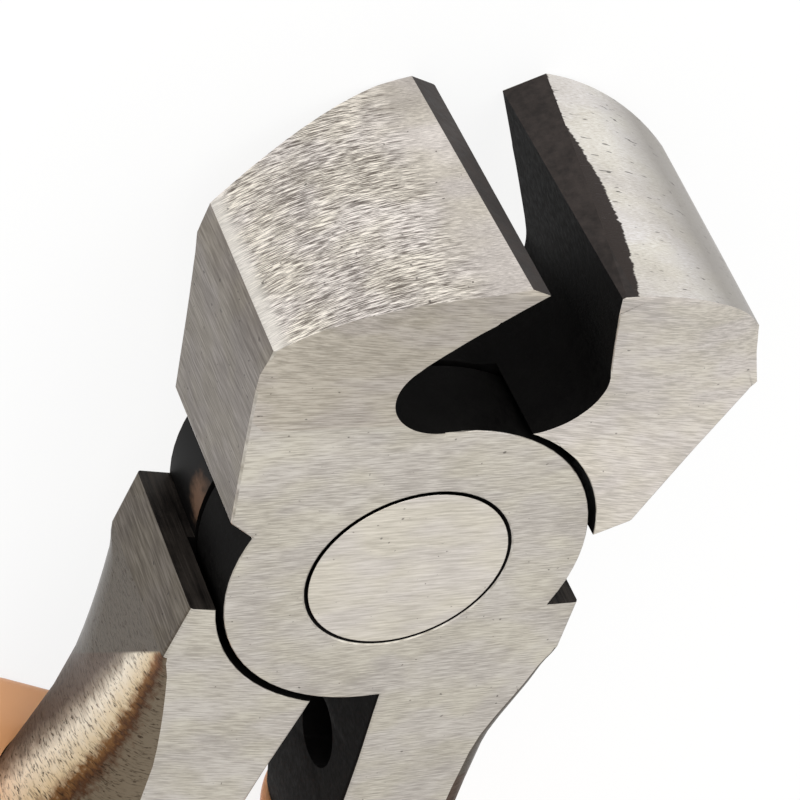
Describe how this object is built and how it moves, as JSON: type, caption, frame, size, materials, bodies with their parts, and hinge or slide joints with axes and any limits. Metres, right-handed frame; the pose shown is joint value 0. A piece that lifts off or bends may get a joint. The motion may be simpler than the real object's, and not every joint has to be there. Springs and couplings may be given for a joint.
{
  "type": "watch stem cutter",
  "caption": "Small end-cutting nipper for trimming watch winding stems: flared jaws with bevelled edges, a riveted lap joint and handles in dipped vinyl sleeves.",
  "frame": {"origin": "on the pivot's axis, in the rear face of the joint", "axes": "+Y from the pivot to the cutting edges, +Z along the pivot out of the front face, +X to the right as the front face is seen with the jaws up"},
  "size_m": [0.0502, 0.1144, 0.0112],
  "materials": {
    "jaw_steel": "forged steel, faces and crowns ground to a fine straight grain, bevels and hollows left dark",
    "rivet_steel": "steel rivet ground flush with the joint",
    "grip_vinyl": "smooth dipped vinyl with a soft sheen"
  },
  "bodies": {
    "front": {"front_lever": "jaw_steel", "pivot_rivet": "rivet_steel", "right_grip": "grip_vinyl"},
    "rear": {"rear_lever": "jaw_steel", "left_grip": "grip_vinyl"}
  },
  "joints": [
    {"name": "jaw_pivot", "type": "hinge", "parent": "front", "child": "rear", "pos_m": [0, 0, 0.0035], "axis": [0, 0, -1], "range_deg": [-9.8, 27]}
  ]
}
